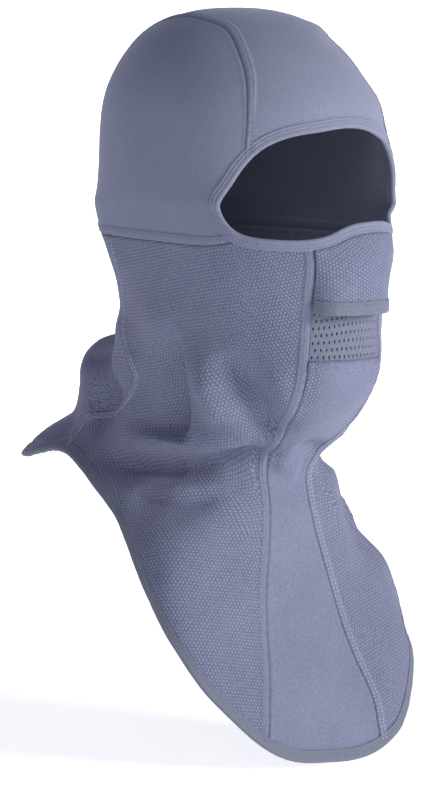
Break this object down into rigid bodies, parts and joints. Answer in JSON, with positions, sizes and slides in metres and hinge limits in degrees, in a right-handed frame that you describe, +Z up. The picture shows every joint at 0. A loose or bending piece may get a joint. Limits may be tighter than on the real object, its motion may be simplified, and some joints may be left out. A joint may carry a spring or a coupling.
{
  "type": "balaclava",
  "caption": "Full-head winter balaclava with an eye opening, a vented nose flap over a mouth mesh, and a long rounded bib.",
  "frame": {"origin": "the lining at the crown, where the wearer's head holds the hood up", "axes": "-Y is the way the wearer faces, +X is the wearer's left, +Z is up"},
  "size_m": [0.1894, 0.2906, 0.4468],
  "materials": {
    "smooth_knit": "matte fine knit",
    "honeycomb_softshell": "matte softshell with a fine honeycomb face",
    "facing_tape": "matte smooth tape",
    "seam_thread": "matte cover stitch",
    "spacer_mesh": "matte perforated mesh"
  },
  "bodies": {
    "balaclava": {"back_neck_panel": "honeycomb_softshell", "back_seam_band_left": "seam_thread", "back_seam_band_right": "seam_thread", "crown_seam_band_left": "seam_thread", "crown_seam_band_right": "seam_thread", "ear_seam_band": "seam_thread", "eye_binding_topstitch": "seam_thread", "eye_opening_binding": "facing_tape", "front_panel": "honeycomb_softshell", "front_seam_band_left": "seam_thread", "front_seam_band_right": "seam_thread", "hem_binding": "facing_tape", "hem_binding_topstitch": "seam_thread", "hood_centre_panel": "smooth_knit", "hood_side_panel_left": "smooth_knit", "hood_side_panel_right": "smooth_knit", "mesh_lower_seam_band": "seam_thread", "mouth_mesh": "spacer_mesh", "side_panel_left": "honeycomb_softshell", "side_panel_right": "honeycomb_softshell"},
    "nose_flap": {"nose_flap": "honeycomb_softshell", "nose_flap_facing": "facing_tape", "nose_flap_topstitch": "seam_thread"}
  },
  "joints": [
    {"name": "nose_flap_lift", "type": "hinge", "parent": "balaclava", "child": "nose_flap", "pos_m": [0, -0.10963, -0.13165], "axis": [-1, 0, 0], "range_deg": [0, 10], "stiffness_Nm_per_rad": 0.02}
  ]
}
